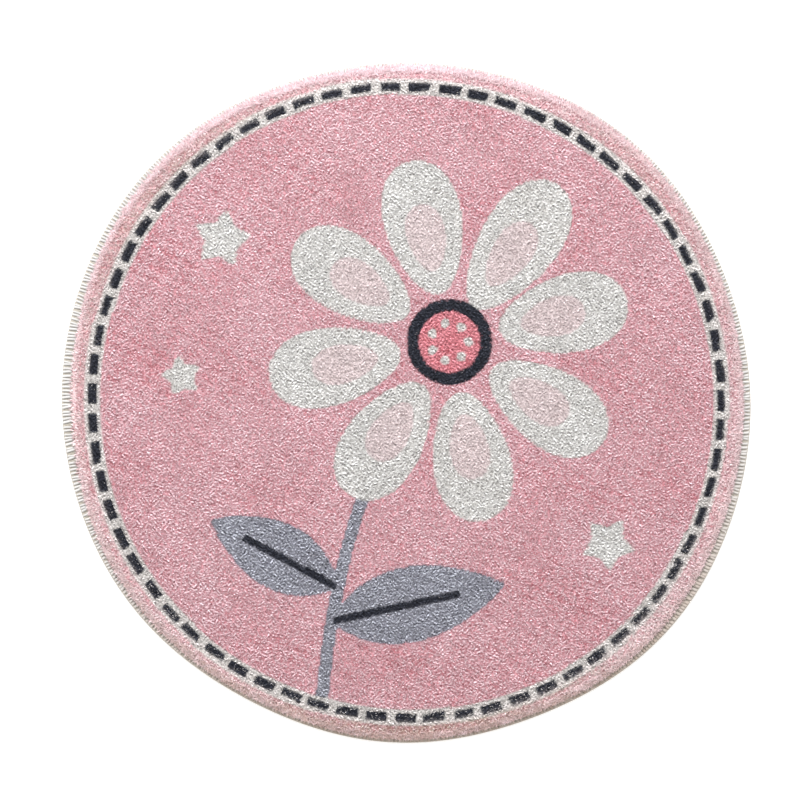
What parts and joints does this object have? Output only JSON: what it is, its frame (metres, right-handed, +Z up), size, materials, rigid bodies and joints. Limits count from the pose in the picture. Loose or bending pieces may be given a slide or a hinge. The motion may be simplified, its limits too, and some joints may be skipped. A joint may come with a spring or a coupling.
{
  "type": "round rug",
  "caption": "Round cut-pile rug in pink with a dashed border ring and a cream overlocked edge; it lies flat on a floor.",
  "frame": {"origin": "on the floor, under the middle of the rug's dashed border", "axes": "+Z up out of the pile; +Y the way the pile leans, which is also the top of the design; +X to its right"},
  "size_m": [0.8033, 0.793, 0.0135],
  "materials": {
    "pink_pile": "matt cut pile of soft twisted yarn",
    "edge_yarn": "cream overlocking yarn, slightly glossy",
    "white_pile": "matt cut pile, off-white",
    "blush_pile": "matt cut pile, pale blush",
    "grey_pile": "matt cut pile, violet-grey",
    "charcoal_pile": "matt cut pile, charcoal",
    "backing": "plain woven backing cloth"
  },
  "bodies": {
    "root": {"pile_carpet": "pink_pile", "overlock_edge": "edge_yarn"}
  },
  "joints": []
}
